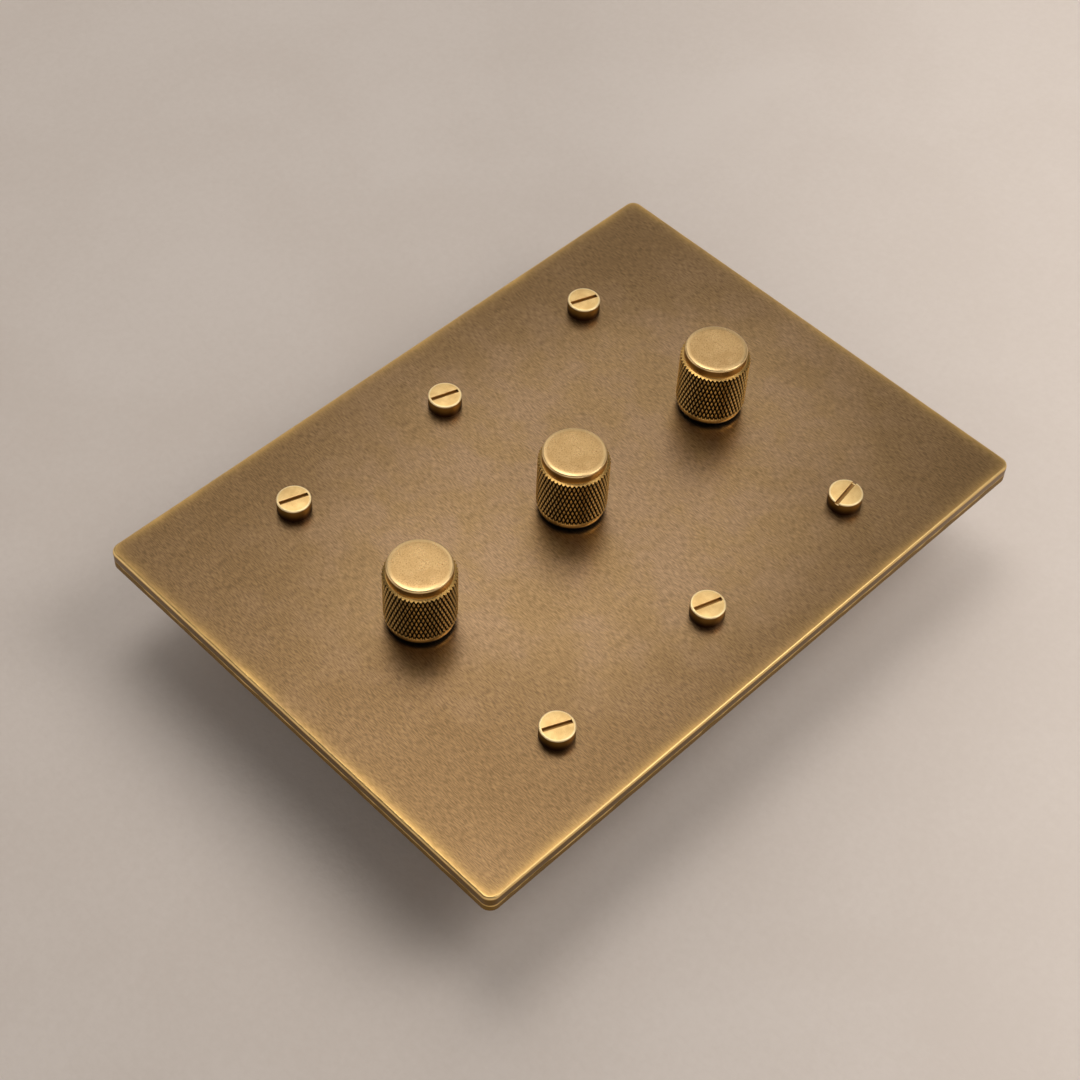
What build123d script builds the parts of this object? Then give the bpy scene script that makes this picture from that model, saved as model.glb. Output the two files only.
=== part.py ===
"""Three-gang rotary dimmer switch: a brass wall plate with three knurled knobs that push and turn.

The origin is the centre of the wall plane. X runs along the row of gangs, Y up the wall and Z out of it.
All sizes are in millimetres.
"""

import math
import os

from build123d import *

# Wall-box standard: distance between gangs, and between the two rows of screws.
GANG_PITCH = 46.04
SCREW_ROW_SPACING = 83.34
GANG_COLUMNS = {"left": -1, "middle": 0, "right": 1}
SCREW_ROWS = (1, -1)

# Brass plate and the darker frame behind it.
END_MARGIN = 37.46
ROW_MARGIN = 19.08
PLATE_THICKNESS = 2.8
PLATE_CORNER_RADIUS = 2.5
PLATE_EDGE_CHAMFER = 0.5
FRAME_THICKNESS = 1.8
FRAME_WIDTH = 8.0
FRAME_EDGE_CHAMFER = 0.25

# Plate screws with tall slotted heads.
SCREW_HEAD_RADIUS = 3.95
SCREW_HEAD_HEIGHT = 3.4
SCREW_SHANK_RADIUS = 1.75
SCREW_LENGTH = 25.4
SCREW_HOLE_CLEARANCE = 1.3
SLOT_WIDTH = 1.0
SLOT_DEPTH = 0.7
SLOT_RIM = 0.55
# How each screw was left turned, in degrees by column and row. One slot is milled right across its head.
SLOT_ANGLES = {(-1, 1): -19, (0, 1): -18.6, (1, 1): -20, (-1, -1): -23.6, (0, -1): -18, (1, -1): 8.8}
OPEN_SLOT = (1, -1)

# Knob, from the plate upwards: foot ring, diamond knurl with a flat shoulder, cap.
PUSH_TRAVEL = 0.5
KNOB_REST_CLEARANCE = 0.1
FOOT_HEIGHT = 1.9
FOOT_STEP = 0.05
KNURL_HEIGHT = 13.3
KNURL_RADIUS = 8.1
KNURL_DEPTH = 0.45
KNURL_COUNT = 21
KNURL_ROWS = 5
CAP_HEIGHT = 2.6
CAP_INSET = 0.85
CAP_EDGE_CHAMFER = 0.6

# Shaft, bushing and nut.
SHAFT_RADIUS = 3.0
SHAFT_FLAT_DEPTH = 0.7
SHAFT_ENGAGEMENT = 8.0
SHAFT_END_GAP = 0.3
PUSH_FIT = 0.02
TANG_INSET = 1.0
RUNNING_CLEARANCE = 0.03
BUSHING_WALL = 0.5
BUSHING_TIP = 0.6
BUSHING_HOLE_CLEARANCE = 0.1
FLANGE_THICKNESS = 1.5
NUT_WALL = 1.5
NUT_THICKNESS = 2.0
NUT_SPACE = 0.5

# Control under the bushing: the rotor on the shaft's tang, a square plunger and a leaf spring.
CASE_SIZE = 17.0
CASE_WALL = 1.5
ROTOR_THICKNESS = 2.4
ROTOR_WIDTH = 7.0
ROTOR_EDGE_CLEARANCE = 0.4
SLIDE_PLAY = 0.05
PLUNGER_HEIGHT = 4.0
PLUNGER_CLEARANCE = 0.2
SPRING_HEIGHT = 2.6
SPRING_THICKNESS = 0.25
SPRING_WIDTH = 3.0
SPRING_FOOT = 1.2
SPRING_CROWN = 3.2

# Yoke and moulded housing of each module.
SINK_SPACING = 4.04
SINK_ROW_CLEARANCE = 5.67
SINK_THICKNESS = 1.6
TAB_WIDTH = 12.0
TAB_LENGTH = 8.0
TAB_CLEARANCE = 0.1
LATCH_WIDTH = 7.0
LATCH_HEIGHT = 3.0
LATCH_MARGIN = 2.0
LATCH_CLEARANCE = 0.2
HOUSING_SIDE_INSET = 0.5
HOUSING_END_INSET = 3.0
HOUSING_DEPTH = 25.2
HOUSING_WALL = 1.6
HOUSING_CORNER_BEVEL = 1.2
RIB_WIDTH = 1.4
RIB_LENGTH = 30.0

# Circuit board and what it carries.
BOARD_THICKNESS = 1.6
BOARD_CLEARANCE = 0.3
PART_SPACING = 1.5
TRIAC_WIDTH = 10.0
TRIAC_LENGTH = 15.0
TRIAC_TAB_THICKNESS = 1.3
TRIAC_BODY_LENGTH = 9.0
TRIAC_BODY_THICKNESS = 4.4
TRIAC_LEAD_WIDTH = 0.8
TRIAC_LEAD_PITCH = 2.54
CHOKE_WIDTH = 16.0
CHOKE_LENGTH = 14.0
CHOKE_HEIGHT = 6.0
CHOKE_COIL_LENGTH = 8.0
CHOKE_COIL_BULGE = 1.5
CAPACITOR_WIDTH = 6.5
CAPACITOR_LENGTH = 16.0
CAPACITOR_HEIGHT = 7.0
CAPACITOR_BEVEL = 0.8

# Push-in terminals: two wire entries in the end wall, with a release slot behind each.
TERMINAL_WIDTH = 22.0
TERMINAL_LENGTH = 10.0
ENTRY_SIZE = 4.8
ENTRY_DEPTH = 8.0
ENTRY_PITCH = 11.0
ENTRY_ROOF = 1.6
ENTRY_WINDOW_CLEARANCE = 0.3
RELEASE_WIDTH = 3.6
RELEASE_LENGTH = 1.2

# Outlines worked out from the sizes above.
PLATE_WIDTH = 2 * (GANG_PITCH + END_MARGIN)
PLATE_HEIGHT = SCREW_ROW_SPACING + 2 * ROW_MARGIN
SINK_WIDTH = GANG_PITCH - SINK_SPACING
SINK_HEIGHT = SCREW_ROW_SPACING - 2 * SINK_ROW_CLEARANCE
HOUSING_WIDTH = SINK_WIDTH - 2 * HOUSING_SIDE_INSET
HOUSING_HEIGHT = SINK_HEIGHT - 2 * HOUSING_END_INSET
HOUSING_BORE_WIDTH = HOUSING_WIDTH - 2 * HOUSING_WALL
HOUSING_BORE_HEIGHT = HOUSING_HEIGHT - 2 * HOUSING_WALL
BUSHING_RADIUS = SHAFT_RADIUS + BUSHING_WALL
BUSHING_HOLE_RADIUS = BUSHING_RADIUS + BUSHING_HOLE_CLEARANCE
NUT_FLAT_RADIUS = BUSHING_RADIUS + NUT_WALL
NUT_CORNER_RADIUS = NUT_FLAT_RADIUS / math.cos(math.pi / 6)
TANG_SIZE = 2 * (SHAFT_RADIUS - TANG_INSET)
CASE_BORE = CASE_SIZE - 2 * CASE_WALL
ROTOR_SWEEP_RADIUS = CASE_BORE / 2 - ROTOR_EDGE_CLEARANCE
ROTOR_LENGTH = 2 * math.sqrt(ROTOR_SWEEP_RADIUS**2 - (ROTOR_WIDTH / 2) ** 2)
PLUNGER_SIZE = CASE_BORE - 2 * PLUNGER_CLEARANCE

# Heights, from the plate down to the back of the housing.
PLATE_BACK = FRAME_THICKNESS
PLATE_FRONT = PLATE_BACK + PLATE_THICKNESS
SINK_BACK = PLATE_BACK - SINK_THICKNESS
FLANGE_BACK = SINK_BACK - FLANGE_THICKNESS
ROTOR_TOP = FLANGE_BACK - SLIDE_PLAY
ROTOR_BOTTOM = ROTOR_TOP - ROTOR_THICKNESS
PLUNGER_TOP = ROTOR_BOTTOM - SLIDE_PLAY
PLUNGER_BOTTOM = PLUNGER_TOP - PLUNGER_HEIGHT
SPRING_TOP = PLUNGER_BOTTOM - SLIDE_PLAY
BOARD_FRONT = SPRING_TOP - SPRING_HEIGHT
BOARD_BACK = BOARD_FRONT - BOARD_THICKNESS
HOUSING_BACK = SINK_BACK - HOUSING_DEPTH
HOUSING_FLOOR = HOUSING_BACK + HOUSING_WALL
ENTRY_TOP = BOARD_BACK - ENTRY_ROOF
ENTRY_BOTTOM = ENTRY_TOP - ENTRY_SIZE

# Heights of the knob and what stands inside it.
KNOB_BOTTOM = PLATE_FRONT + PUSH_TRAVEL + KNOB_REST_CLEARANCE
KNURL_BOTTOM = KNOB_BOTTOM + FOOT_HEIGHT
KNURL_TOP = KNURL_BOTTOM + KNURL_HEIGHT
KNOB_TOP = KNURL_TOP + CAP_HEIGHT
NUT_TOP = PLATE_FRONT + NUT_THICKNESS
BUSHING_TOP = NUT_TOP + BUSHING_TIP
SKIRT_CEILING = BUSHING_TOP + PUSH_TRAVEL + KNOB_REST_CLEARANCE
SHAFT_TOP = SKIRT_CEILING + SHAFT_ENGAGEMENT

# Places along the housing, from the end wall with the wire entries.
END_WALL = -HOUSING_HEIGHT / 2
TERMINAL_FACE = END_WALL + HOUSING_WALL
TERMINAL_MIDDLE = TERMINAL_FACE + TERMINAL_LENGTH / 2
ENTRY_PLACES = (-ENTRY_PITCH / 2, ENTRY_PITCH / 2)


def rod(radius, bottom, top):
    """Upright cylinder on the Z axis between two heights."""
    return Pos(0, 0, bottom) * Cylinder(radius, top - bottom, align=(Align.CENTER, Align.CENTER, Align.MIN))


def block(width, length, bottom, top, x=0.0, y=0.0):
    """Upright box centred on (x, y) between two heights."""
    solid = Box(width, length, top - bottom, align=(Align.CENTER, Align.CENTER, Align.MIN))
    return Pos(x, y, bottom) * solid


def plate_blank(bottom, top):
    """Upright slab with the plate's outline and rounded corners."""
    outline = Pos(0, 0, bottom) * RectangleRounded(PLATE_WIDTH, PLATE_HEIGHT, PLATE_CORNER_RADIUS)
    return extrude(outline, top - bottom)


def top_edges(solid):
    return solid.faces().sort_by(Axis.Z)[-1].outer_wire().edges()


def flatted(clearance, bottom, top):
    """Round bar with one flat, as at the shaft's upper end, grown by a clearance."""
    flat = SHAFT_RADIUS - SHAFT_FLAT_DEPTH + clearance
    waste = block(SHAFT_RADIUS, 3 * SHAFT_RADIUS, bottom, top, x=flat + SHAFT_RADIUS / 2)
    return rod(SHAFT_RADIUS + clearance, bottom, top) - waste


def at_both_ends(solid):
    return [solid, Rot(0, 0, 180) * solid]


def screw_places():
    return [(column, row) for column in GANG_COLUMNS.values() for row in SCREW_ROWS]


def at_screw(column, row):
    return Pos(column * GANG_PITCH, row * SCREW_ROW_SPACING / 2, 0)


def front_plate():
    plate = plate_blank(PLATE_BACK, PLATE_FRONT)
    plate = chamfer(top_edges(plate), PLATE_EDGE_CHAMFER)
    for column in GANG_COLUMNS.values():
        plate -= Pos(column * GANG_PITCH, 0) * rod(BUSHING_HOLE_RADIUS, PLATE_BACK, PLATE_FRONT)
    for place in screw_places():
        plate -= at_screw(*place) * rod(SCREW_SHANK_RADIUS + SCREW_HOLE_CLEARANCE, PLATE_BACK, PLATE_FRONT)
    return plate


def rear_frame():
    """Ring behind the plate's edge. Its bevelled front arris shows as a fine line under the plate."""
    frame = plate_blank(0, FRAME_THICKNESS)
    frame = chamfer(top_edges(frame), FRAME_EDGE_CHAMFER)
    return frame - block(PLATE_WIDTH - 2 * FRAME_WIDTH, PLATE_HEIGHT - 2 * FRAME_WIDTH, 0, FRAME_THICKNESS)


def plate_screw(column, row):
    """Screw standing on the plate, with its slot at the angle it was left at."""
    head_top = PLATE_FRONT + SCREW_HEAD_HEIGHT
    screw = rod(SCREW_HEAD_RADIUS, PLATE_FRONT, head_top)
    screw += rod(SCREW_SHANK_RADIUS, PLATE_FRONT - SCREW_LENGTH, PLATE_FRONT)
    slot_length = 2 * (SCREW_HEAD_RADIUS - SLOT_RIM)
    if (column, row) == OPEN_SLOT:
        slot_length = 3 * SCREW_HEAD_RADIUS
    screw -= block(slot_length, SLOT_WIDTH, head_top - SLOT_DEPTH, head_top)
    return at_screw(column, row) * Rot(0, 0, SLOT_ANGLES[column, row]) * screw


def knurl_drum():
    """Drum with a diamond knurl: tips and groove crossings alternate around it and from row to row."""
    columns = 2 * KNURL_COUNT

    def corner(column, row):
        is_tip = (column + row) % 2 == 0
        radius = KNURL_RADIUS if is_tip else KNURL_RADIUS - KNURL_DEPTH
        angle = 2 * math.pi * column / columns
        height = KNURL_BOTTOM + KNURL_HEIGHT * row / KNURL_ROWS
        return Vector(radius * math.cos(angle), radius * math.sin(angle), height)

    outlines = []
    for row in range(KNURL_ROWS):
        for column in range(columns):
            low, low_next = corner(column, row), corner(column + 1, row)
            high, high_next = corner(column, row + 1), corner(column + 1, row + 1)
            if (column + row) % 2 == 0:
                outlines += [(low, low_next, high), (high_next, high, low_next)]
            else:
                outlines += [(low, low_next, high_next), (low, high_next, high)]
    for row in (0, KNURL_ROWS):
        outlines.append([corner(column, row) for column in range(columns)])
    return Solid(Shell([Face(Wire.make_polygon(outline)) for outline in outlines]))


def knob():
    """Turned brass knob, pushed onto the shaft's flat, with a skirt that hides the nut."""
    foot = rod(KNURL_RADIUS - KNURL_DEPTH - FOOT_STEP, KNOB_BOTTOM, KNURL_BOTTOM)
    cap = rod(KNURL_RADIUS - CAP_INSET, KNURL_TOP, KNOB_TOP)
    cap = chamfer(top_edges(cap), CAP_EDGE_CHAMFER)
    body = knurl_drum() + foot + cap
    body -= rod(NUT_CORNER_RADIUS + NUT_SPACE, KNOB_BOTTOM, SKIRT_CEILING)
    return body - flatted(PUSH_FIT, SKIRT_CEILING, SHAFT_TOP + SHAFT_END_GAP)


def shaft():
    """Steel shaft: flat at the top for the knob, round in the bushing, square tang for the rotor."""
    bar = rod(SHAFT_RADIUS, ROTOR_TOP, SKIRT_CEILING)
    bar += flatted(0, SKIRT_CEILING, SHAFT_TOP)
    return bar + block(TANG_SIZE, TANG_SIZE, ROTOR_BOTTOM, ROTOR_TOP)


def bushing():
    collar = rod(BUSHING_RADIUS, SINK_BACK, BUSHING_TOP)
    flange = block(CASE_SIZE, CASE_SIZE, FLANGE_BACK, SINK_BACK)
    return collar + flange - rod(SHAFT_RADIUS + RUNNING_CLEARANCE, FLANGE_BACK, BUSHING_TOP)


def bushing_nut():
    outline = Pos(0, 0, PLATE_FRONT) * RegularPolygon(NUT_FLAT_RADIUS, 6, major_radius=False)
    return extrude(outline, NUT_THICKNESS) - rod(BUSHING_RADIUS, PLATE_FRONT, NUT_TOP)


def pot_case():
    """Square tube between the bushing's flange and the board: it guides the plunger and clears the rotor."""
    tube = block(CASE_SIZE, CASE_SIZE, BOARD_FRONT, FLANGE_BACK)
    return tube - block(CASE_BORE, CASE_BORE, BOARD_FRONT, FLANGE_BACK)


def wiper_rotor():
    arm = block(ROTOR_LENGTH, ROTOR_WIDTH, ROTOR_BOTTOM, ROTOR_TOP)
    return arm - block(TANG_SIZE, TANG_SIZE, ROTOR_BOTTOM, ROTOR_TOP)


def push_carriage():
    return block(PLUNGER_SIZE, PLUNGER_SIZE, PLUNGER_BOTTOM, PLUNGER_TOP)


def return_spring():
    """Leaf bent into a low arch, with its feet on the board and its crown under the plunger."""
    reach, crown = PLUNGER_SIZE / 2, SPRING_CROWN / 2
    bends = [
        (-reach, BOARD_FRONT),
        (-reach + SPRING_FOOT, BOARD_FRONT),
        (-crown, SPRING_TOP - SPRING_THICKNESS),
        (crown, SPRING_TOP - SPRING_THICKNESS),
        (reach - SPRING_FOOT, BOARD_FRONT),
        (reach, BOARD_FRONT),
    ]
    underside = [(x, 0, z) for x, z in bends]
    upper_side = [(x, 0, z + SPRING_THICKNESS) for x, z in reversed(bends)]
    outline = make_face(Polyline(*underside, *upper_side, close=True))
    return extrude(outline, SPRING_WIDTH / 2, dir=(0, 1, 0), both=True)


def latch(clearance, depth):
    """Latch standing out of the housing's end wall, or with no clearance the window it catches in."""
    bottom = SINK_BACK - TAB_LENGTH + LATCH_MARGIN
    return block(
        LATCH_WIDTH - 2 * clearance,
        depth,
        bottom + clearance,
        bottom + LATCH_HEIGHT - clearance,
        y=(HOUSING_HEIGHT + depth) / 2,
    )


def heat_sink():
    """Yoke clamped behind the plate, with a tab folded down over each end of the housing."""
    sink = block(SINK_WIDTH, SINK_HEIGHT, SINK_BACK, PLATE_BACK)
    sink -= block(2 * BUSHING_HOLE_RADIUS, 2 * BUSHING_HOLE_RADIUS, SINK_BACK, PLATE_BACK)
    tab_middle = HOUSING_HEIGHT / 2 + TAB_CLEARANCE + SINK_THICKNESS / 2
    tab = block(TAB_WIDTH, SINK_THICKNESS, SINK_BACK - TAB_LENGTH, SINK_BACK, y=tab_middle)
    tab -= latch(0, 2 * (TAB_CLEARANCE + SINK_THICKNESS))
    for placed in at_both_ends(tab):
        sink += placed
    return sink


def housing():
    """Moulded cup under the yoke, with ribs for the board, latches, wire windows and release slots."""
    cup = block(HOUSING_WIDTH, HOUSING_HEIGHT, HOUSING_BACK, SINK_BACK)
    cup = chamfer(cup.edges().filter_by(Axis.Z), HOUSING_CORNER_BEVEL)
    cup -= block(HOUSING_BORE_WIDTH, HOUSING_BORE_HEIGHT, HOUSING_FLOOR, SINK_BACK)
    for placed in at_both_ends(latch(LATCH_CLEARANCE, TAB_CLEARANCE + SINK_THICKNESS)):
        cup += placed
    for rib in at_both_ends(
        block(RIB_WIDTH, RIB_LENGTH, HOUSING_FLOOR, BOARD_BACK, x=(HOUSING_BORE_WIDTH - RIB_WIDTH) / 2)
    ):
        cup += rib
    margin = ENTRY_WINDOW_CLEARANCE
    slot_width = RELEASE_WIDTH + 2 * margin
    slot_length = RELEASE_LENGTH + 2 * margin
    for x in ENTRY_PLACES:
        cup -= block(
            ENTRY_SIZE + 2 * margin,
            2 * HOUSING_WALL,
            ENTRY_BOTTOM - margin,
            ENTRY_TOP + margin,
            x=x,
            y=END_WALL,
        )
        cup -= block(slot_width, slot_length, HOUSING_BACK, HOUSING_FLOOR, x=x, y=TERMINAL_MIDDLE)
    return cup


def circuit_board():
    width = HOUSING_BORE_WIDTH - 2 * BOARD_CLEARANCE
    return block(width, HOUSING_BORE_HEIGHT - 2 * BOARD_CLEARANCE, BOARD_BACK, BOARD_FRONT)


def triac():
    """Power switch: its metal tab lies on the heat sink and three leads run down to the board."""
    start = CASE_SIZE / 2 + PART_SPACING
    body_bottom = SINK_BACK - TRIAC_BODY_THICKNESS
    tab_bottom = SINK_BACK - TRIAC_TAB_THICKNESS
    device = block(TRIAC_WIDTH, TRIAC_LENGTH, tab_bottom, SINK_BACK, y=start + TRIAC_LENGTH / 2)
    device += block(TRIAC_WIDTH, TRIAC_BODY_LENGTH, body_bottom, SINK_BACK, y=start + TRIAC_BODY_LENGTH / 2)
    for lead in (-1, 0, 1):
        device += block(
            TRIAC_LEAD_WIDTH,
            TRIAC_LEAD_WIDTH,
            BOARD_FRONT,
            body_bottom,
            x=lead * TRIAC_LEAD_PITCH,
            y=start + TRIAC_LEAD_WIDTH,
        )
    return device


def choke():
    """Suppression choke: a wound coil around the middle of a square core."""
    y = -(CASE_SIZE / 2 + PART_SPACING + CHOKE_LENGTH / 2)
    core = block(CHOKE_WIDTH, CHOKE_LENGTH, BOARD_FRONT, BOARD_FRONT + CHOKE_HEIGHT, y=y)
    coil_top = BOARD_FRONT + CHOKE_HEIGHT + CHOKE_COIL_BULGE
    coil = block(CHOKE_WIDTH + 2 * CHOKE_COIL_BULGE, CHOKE_COIL_LENGTH, BOARD_FRONT, coil_top, y=y)
    return core + chamfer(coil.edges().filter_by(Axis.Y).group_by(Axis.Z)[-1], CHOKE_COIL_BULGE)


def capacitor():
    x = -(TRIAC_WIDTH / 2 + PART_SPACING + CAPACITOR_WIDTH / 2)
    y = CASE_SIZE / 2 + PART_SPACING + CAPACITOR_LENGTH / 2
    can = block(CAPACITOR_WIDTH, CAPACITOR_LENGTH, BOARD_FRONT, BOARD_FRONT + CAPACITOR_HEIGHT, x=x, y=y)
    return chamfer(top_edges(can), CAPACITOR_BEVEL)


def terminal_block():
    solid = block(TERMINAL_WIDTH, TERMINAL_LENGTH, HOUSING_FLOOR, BOARD_BACK, y=TERMINAL_MIDDLE)
    entry_middle = TERMINAL_FACE + ENTRY_DEPTH / 2
    for x in ENTRY_PLACES:
        solid -= block(ENTRY_SIZE, ENTRY_DEPTH, ENTRY_BOTTOM, ENTRY_TOP, x=x, y=entry_middle)
        solid -= block(RELEASE_WIDTH, RELEASE_LENGTH, HOUSING_FLOOR, ENTRY_BOTTOM, x=x, y=TERMINAL_MIDDLE)
    return solid


MODULE_PIECES = (
    knob,
    shaft,
    bushing,
    bushing_nut,
    pot_case,
    wiper_rotor,
    push_carriage,
    return_spring,
    heat_sink,
    housing,
    circuit_board,
    triac,
    choke,
    capacitor,
    terminal_block,
)


def build():
    """Every piece by node name. The six plate screws share a node as separate solids."""
    nodes = {"front_plate": front_plate(), "rear_frame": rear_frame()}
    nodes["plate_screws"] = Compound([plate_screw(*place).solid() for place in screw_places()])
    for make_piece in MODULE_PIECES:
        piece = make_piece()
        for gang, column in GANG_COLUMNS.items():
            nodes[f"{gang}_{make_piece.__name__}"] = Pos(column * GANG_PITCH, 0, 0) * piece
    return nodes


os.makedirs("parts", exist_ok=True)
for node, shape in build().items():
    export_step(shape, os.path.join("parts", node + ".step"))
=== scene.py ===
"""Dresses the three-gang rotary dimmer switch in aged brass and lights it as in the photograph.

Lengths are in metres. Shader coordinates are in millimetres, because the finishes are that fine.
"""

import math

import bmesh
import bpy
from mathutils import Matrix, Quaternion, Vector


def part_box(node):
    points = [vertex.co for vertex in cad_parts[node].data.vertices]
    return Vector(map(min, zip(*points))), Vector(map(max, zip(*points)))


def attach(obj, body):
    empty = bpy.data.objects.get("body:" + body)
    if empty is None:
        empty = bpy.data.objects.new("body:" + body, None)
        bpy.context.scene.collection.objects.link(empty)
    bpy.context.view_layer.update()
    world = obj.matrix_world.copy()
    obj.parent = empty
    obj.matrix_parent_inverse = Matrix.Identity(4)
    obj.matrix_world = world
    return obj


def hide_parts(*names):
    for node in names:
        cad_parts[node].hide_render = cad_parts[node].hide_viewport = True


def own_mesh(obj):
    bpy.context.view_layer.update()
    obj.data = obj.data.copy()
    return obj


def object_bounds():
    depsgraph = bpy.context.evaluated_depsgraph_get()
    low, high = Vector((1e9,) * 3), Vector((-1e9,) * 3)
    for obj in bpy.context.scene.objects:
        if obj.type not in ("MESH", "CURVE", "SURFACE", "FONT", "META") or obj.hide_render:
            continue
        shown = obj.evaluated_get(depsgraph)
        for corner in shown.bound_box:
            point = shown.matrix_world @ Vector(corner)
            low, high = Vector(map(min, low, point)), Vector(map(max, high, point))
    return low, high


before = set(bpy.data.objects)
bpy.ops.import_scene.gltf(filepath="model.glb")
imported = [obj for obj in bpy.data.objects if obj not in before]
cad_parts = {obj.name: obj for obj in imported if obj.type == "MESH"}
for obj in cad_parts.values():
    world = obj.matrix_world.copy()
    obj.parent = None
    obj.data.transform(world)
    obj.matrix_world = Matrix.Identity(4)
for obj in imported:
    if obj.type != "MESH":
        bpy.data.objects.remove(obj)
cad_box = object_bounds()

MM = 0.001
GANGS = ("left", "middle", "right")

# Steps around a full circle, a corner of the plate, a modelled round edge and a bevelled edge, and the angle
# from which an edge is bevelled.
CIRCLE_STEPS = 48
CORNER_STEPS = 12
ARC_STEPS = 8
BEVEL_STEPS = 2
BEVEL_ANGLE = math.radians(40)

# The photograph's camera, and the floor that the housings stand on.
CAMERA_PLACE = Vector((-231.98, -207.61, 379.51)) * MM
CAMERA_TARGET = Vector((-12.21, -2.39, 4.6)) * MM
CAMERA_ROLL = math.radians(3.05)
CAMERA_LENS = 71.99
SENSOR_WIDTH = 36
FLOOR_SIZE = 6.0

# Lamps that face the part: place, size and power in watts.
WARM_WHITE = (1.0, 0.97, 0.93)
LAMPS = {
    "overhead_softbox": ((0.11, 0.27, 1.0), (0.45, 0.45), 2.2),
    "side_softbox": ((0.278, -0.309, 0.563), (0.39, 0.39), 1.6),
    "far_panel": ((0.479, 0.479, 0.867), (0.8, 0.7), 1.9),
    "near_panel": ((-0.60, -0.56, 0.50), (1.0, 0.7), 1.1),
    "left_panel": ((-0.42, 0.50, 0.32), (0.5, 0.35), 0.4),
}

# Strength of the light from all round, and of the pale wall along the horizon. The wall is full below one
# height on a unit sphere and gone above another.
AMBIENT = 0.1
WALL = 0.9
WALL_FULL = 0.15
WALL_GONE = 0.6

# Glow of the floor for the camera and for reflections. It grows between two distances from the middle, far
# out where the lamps don't reach, and less strongly towards the photograph's right, between two values of x
# less y. Both pairs are in millimetres.
GLOW_FAR = (200, 1000)
GLOW_RIGHT = (-30, 230)
GLOW_RIGHT_STRENGTH = 0.3

# Plate: corner, rubbed front arris, back arris, where the level face starts, and the holes that the screws
# and bushings pass through.
PLATE_CORNER_RADIUS = 2.5 * MM
PLATE_ARRIS = 0.6 * MM
PLATE_BACK_ARRIS = 0.1 * MM
PLATE_FLAT_FROM = 1.1 * PLATE_ARRIS
GANG_PITCH = 46.04 * MM
SCREW_ROW = 41.67 * MM
BUSHING_HOLE_RADIUS = 3.6 * MM
SCREW_HOLE_RADIUS = 3.05 * MM

# Screws: head, slot and a 32-per-inch thread below a plain neck, with some rows of points to each pitch.
# The slots' angles are in degrees, by column and row, and one slot runs right across its head.
HEAD_RADIUS = 3.95 * MM
HEAD_HEIGHT = 3.4 * MM
HEAD_ARRIS = 0.28 * MM
SHANK_RADIUS = 1.75 * MM
THREAD_DEPTH = 0.36 * MM
THREAD_PITCH = 0.794 * MM
THREAD_NECK = 3 * THREAD_PITCH
THREAD_ROWS = 4
SLOT_WIDTH = 1.0 * MM
SLOT_DEPTH = 0.7 * MM
SLOT_RIM = 0.55 * MM
SLOT_ANGLES = {(-1, 1): -19, (0, 1): -18.6, (1, 1): -20, (-1, -1): -23.6, (0, -1): -18, (1, -1): 8.8}
OPEN_SLOT = (1, -1)

# Knob, with heights from its lower end. The bead of its foot leaves out a share of its half turn at each
# end. The cap's level centre is a share of its radius, and its fillet is pairs of extra radius and rise in
# millimetres.
KNURL_COUNT = 52
KNURL_ROWS = 10
KNURL_RADIUS = 8.1 * MM
KNURL_DEPTH = 0.45 * MM
KNURL_TIP = 0.24
KNURL_BOTTOM = 1.9 * MM
KNURL_TOP = 15.1 * MM
FOOT_RADIUS = 7.35 * MM
FOOT_BULGE = 0.36 * MM
FOOT_BEAD_START = 0.04
SHOULDER_RISE = 0.25 * MM
CAP_RADIUS = 7.25 * MM
CAP_ROUNDING = 0.5 * MM
CAP_CROWN = 0.12 * MM
CAP_CROWN_POWER = 8
CAP_CENTRE = 0.3
CAP_FILLET = ((0.1, -0.02), (0.02, 0.05), (0, 0.15))
SKIRT_RADIUS = 6.27 * MM
SKIRT_CEILING = 2.6 * MM
BORE_RADIUS = 3.02 * MM
BORE_FLAT = 2.32 * MM
BORE_TOP = 10.9 * MM

# Rounding of the edges of the leaf spring, which a pushed knob flattens in the real switch.
SPRING_ROUNDING = 0.04 * MM

# Middle of the painted highlight on the plate: the patina is painted lightest there and darker away from it,
# in millimetres.
PAINTED_HIGHLIGHT_CENTRE = (8, 0, 0)

# Colours as a screen shows them, from 0 to 255.
PATINA = (150, 122, 86)
GREY_PATINA = (148, 121, 92)
# Dark end of the patina, also used for the painted shade towards the plate's corners.
DARK_PATINA_AND_SHADE = (115, 91, 62)
RUBBED_GOLD = (206, 166, 98)
FRONT_ARRIS_GOLD = (224, 188, 124)
BACK_ARRIS_HIGHLIGHT = (196, 158, 92)
FLANK_BRONZE = (116, 87, 34)
FRAME_BRONZE = (112, 84, 30)
FRAME_LIGHT_BRONZE = (146, 112, 46)
FRAME_LINE_HIGHLIGHT = (214, 178, 114)
SCREW_GOLD = (232, 198, 136)
SCREW_DULL_GOLD = (218, 180, 118)
SCREW_SPECKS = (170, 130, 76)
SCREW_RIM_HIGHLIGHT = (255, 232, 180)
SCREW_SHADED_SIDE = (180, 138, 72)
SCREW_FOOT_SHADE = (72, 46, 18)
SCREW_TARNISH = (150, 114, 66)
CAP_GOLD = (192, 159, 110)
CAP_DULL_GOLD = (176, 142, 94)
CAP_SPECKS = (140, 108, 66)
CAP_RIM_HIGHLIGHT = (236, 202, 146)
KNOB_SIDE = (192, 152, 88)
KNOB_FOOT_HIGHLIGHT = (238, 198, 124)
KNURL_GOLD_AND_GLINT = (252, 214, 140)
KNURL_TARNISH_AND_SHADE = (28, 17, 8)
BOARD_GREEN = (22, 74, 42)
BOARD_LIGHT_GREEN = (40, 108, 62)
COPPER = (176, 96, 52)
LIGHT_COPPER = (204, 124, 70)
COPPER_SHADE = (62, 28, 14)
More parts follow.
